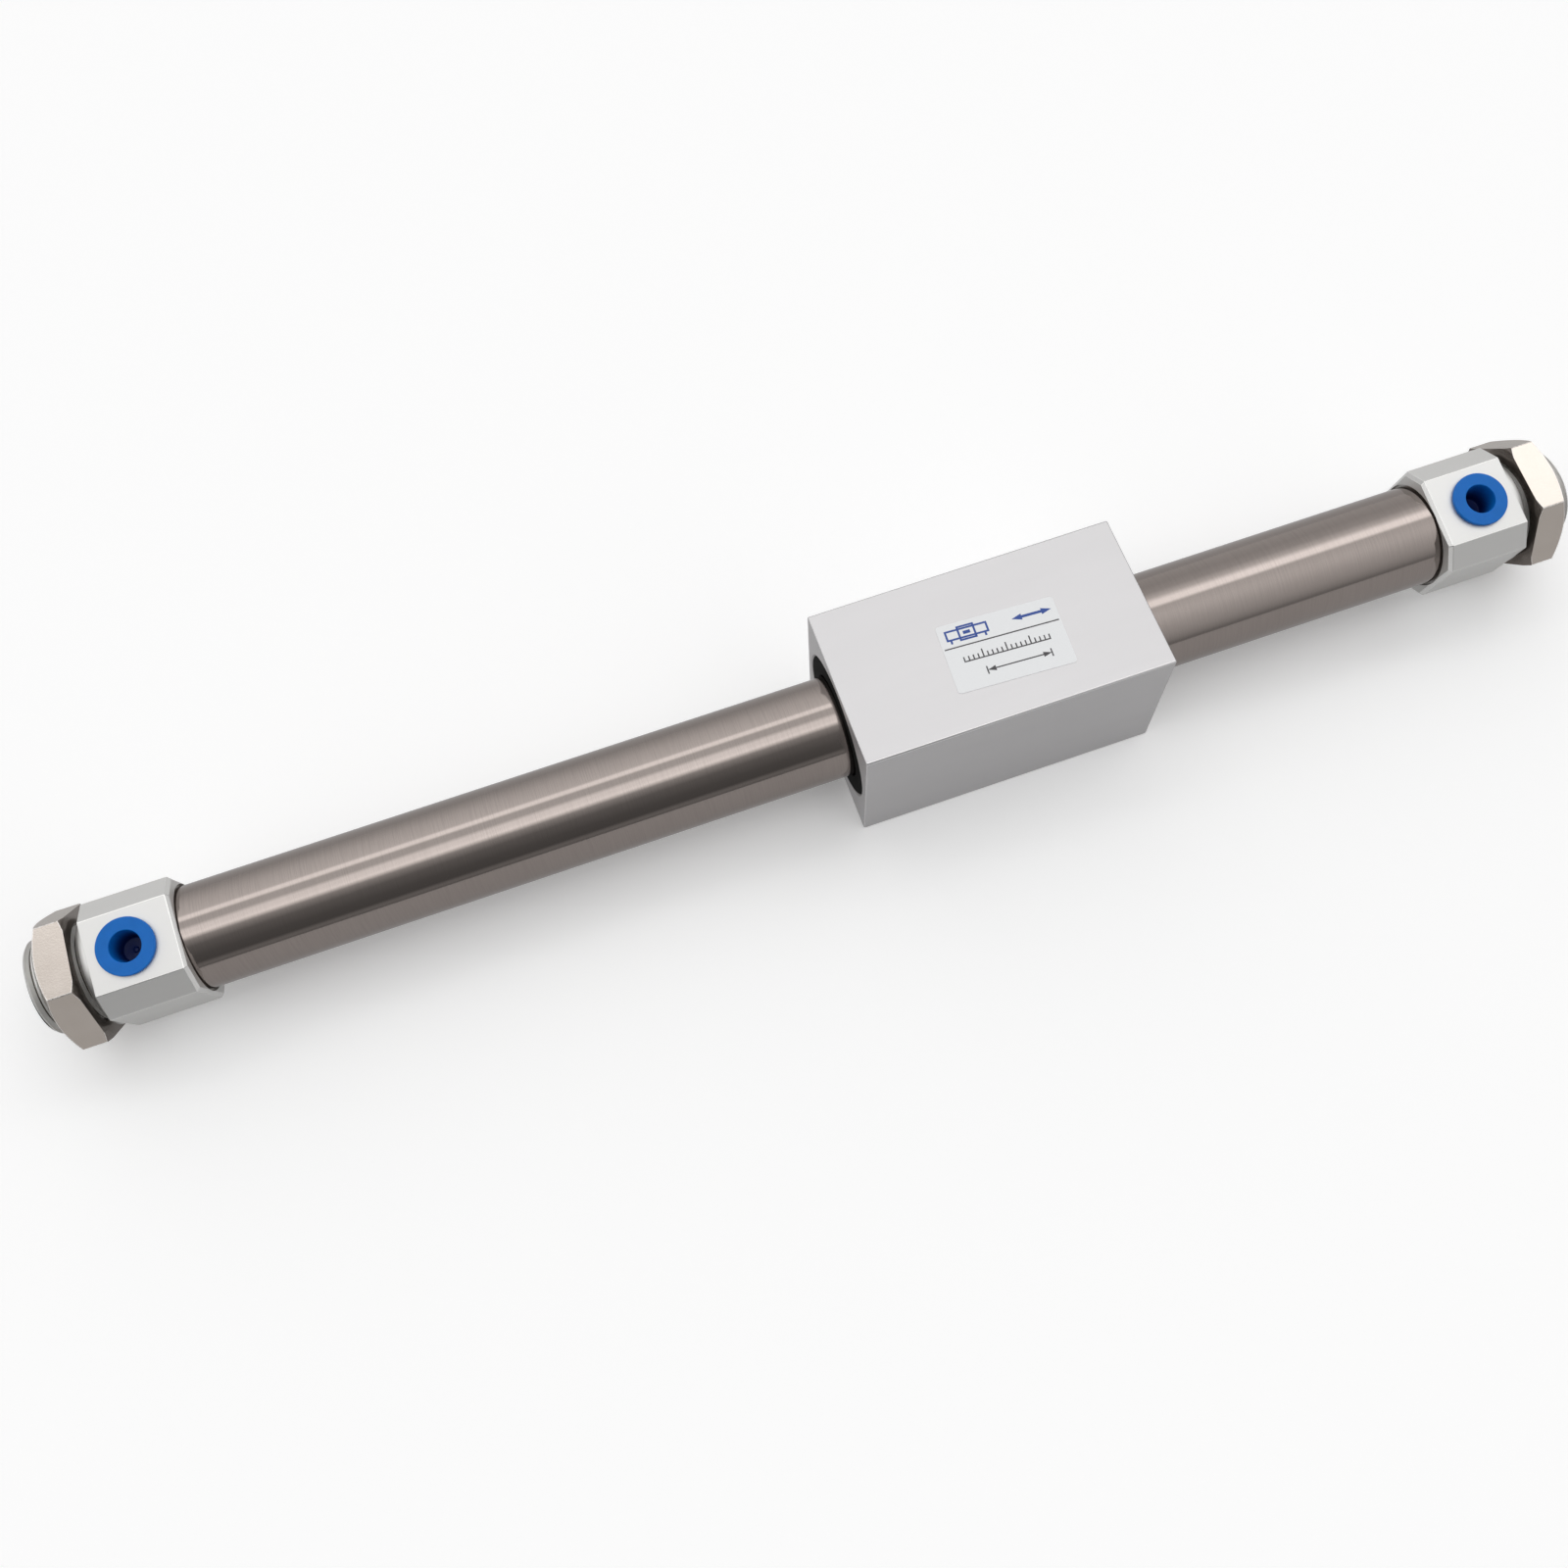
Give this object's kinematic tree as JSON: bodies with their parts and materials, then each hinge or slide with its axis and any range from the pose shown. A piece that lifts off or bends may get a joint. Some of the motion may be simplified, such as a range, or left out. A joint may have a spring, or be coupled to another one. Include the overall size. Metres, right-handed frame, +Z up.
{
  "type": "rodless pneumatic cylinder",
  "caption": "Magnetically coupled rodless pneumatic cylinder: a square carriage slides and turns on a round tube between ported end covers with threaded necks.",
  "frame": {"origin": "on the tube's axis at the middle of its length, which is also the centre of the bounding box", "axes": "+X along the tube, +Z up out of the carriage's top face, -Y towards the front"},
  "size_m": [0.332, 0.035, 0.035],
  "materials": {
    "stainless_tube": "drawn and ground, fine streaks along the tube",
    "cover_aluminium": "satin, clear anodised",
    "nut_nickel": "nickel plated, slightly warm satin",
    "plug_blue": "moulded, semi-gloss",
    "carriage_aluminium": "extruded, satin clear anodised",
    "magnet_plating": "nickel plated ring magnets",
    "yoke_steel": "zinc plated steel",
    "holder_aluminium": "turned",
    "wear_plastic": "sliding plastic",
    "seal_rubber": "nitrile rubber",
    "ring_plastic": "black moulded plastic",
    "oil_felt": "oiled felt",
    "spring_steel": "phosphated spring steel",
    "piston_aluminium": "turned",
    "shaft_steel": "ground steel",
    "bumper_urethane": "amber urethane"
  },
  "bodies": {
    "tube": {"cylinder_tube": "stainless_tube", "left_end_cover": "cover_aluminium", "left_cover_retaining_wire": "spring_steel", "left_tube_gasket": "seal_rubber", "right_end_cover": "cover_aluminium", "right_cover_retaining_wire": "spring_steel", "right_tube_gasket": "seal_rubber"},
    "carriage_bearings": {"left_wear_ring": "wear_plastic", "right_wear_ring": "wear_plastic"},
    "carriage": {"carriage_body": "carriage_aluminium", "outer_magnets": "magnet_plating", "outer_yokes": "yoke_steel", "left_bearing_holder": "holder_aluminium", "left_lube_felt": "oil_felt", "left_scraper": "seal_rubber", "left_carriage_clip": "spring_steel", "left_dust_ring": "ring_plastic", "right_bearing_holder": "holder_aluminium", "right_lube_felt": "oil_felt", "right_scraper": "seal_rubber", "right_carriage_clip": "spring_steel", "right_dust_ring": "ring_plastic"},
    "piston": {"piston_shaft": "shaft_steel", "inner_magnets": "magnet_plating", "inner_yokes": "yoke_steel", "left_piston": "piston_aluminium", "left_piston_wear_ring": "wear_plastic", "left_piston_seal": "seal_rubber", "left_bumper": "bumper_urethane", "left_piston_nut": "shaft_steel", "right_piston": "piston_aluminium", "right_piston_wear_ring": "wear_plastic", "right_piston_seal": "seal_rubber", "right_bumper": "bumper_urethane", "right_piston_nut": "shaft_steel"},
    "left_nut": {"left_mounting_nut": "nut_nickel"},
    "right_nut": {"right_mounting_nut": "nut_nickel"},
    "left_plug": {"left_port_plug": "plug_blue"},
    "right_plug": {"right_port_plug": "plug_blue"}
  },
  "joints": [
    {"name": "carriage_slide", "type": "slide", "parent": "tube", "child": "carriage_bearings", "axis": [1, 0, 0], "range_m": [-0.1347, 0.0653]},
    {"name": "carriage_turn", "type": "hinge", "parent": "carriage_bearings", "child": "carriage", "pos_m": [0.0347, 0, 0], "axis": [1, 0, 0], "continuous": true},
    {"name": "piston_slide", "type": "slide", "parent": "tube", "child": "piston", "axis": [1, 0, 0], "range_m": [-0.1347, 0.0653]},
    {"name": "left_nut_turn", "type": "hinge", "parent": "tube", "child": "left_nut", "pos_m": [-0.15915, 0, 0], "axis": [-1, 0, 0], "continuous": true},
    {"name": "right_nut_turn", "type": "hinge", "parent": "tube", "child": "right_nut", "pos_m": [0.15915, 0, 0], "axis": [1, 0, 0], "continuous": true},
    {"name": "left_plug_pull", "type": "slide", "parent": "tube", "child": "left_plug", "axis": [0, -0.1874, 0.9823], "range_m": [0, 0.012]},
    {"name": "right_plug_pull", "type": "slide", "parent": "tube", "child": "right_plug", "axis": [0, -0.1874, 0.9823], "range_m": [0, 0.012]}
  ],
  "couplings": [
    {"joint": "piston_slide", "follows": "carriage_slide", "ratio": 1}
  ]
}
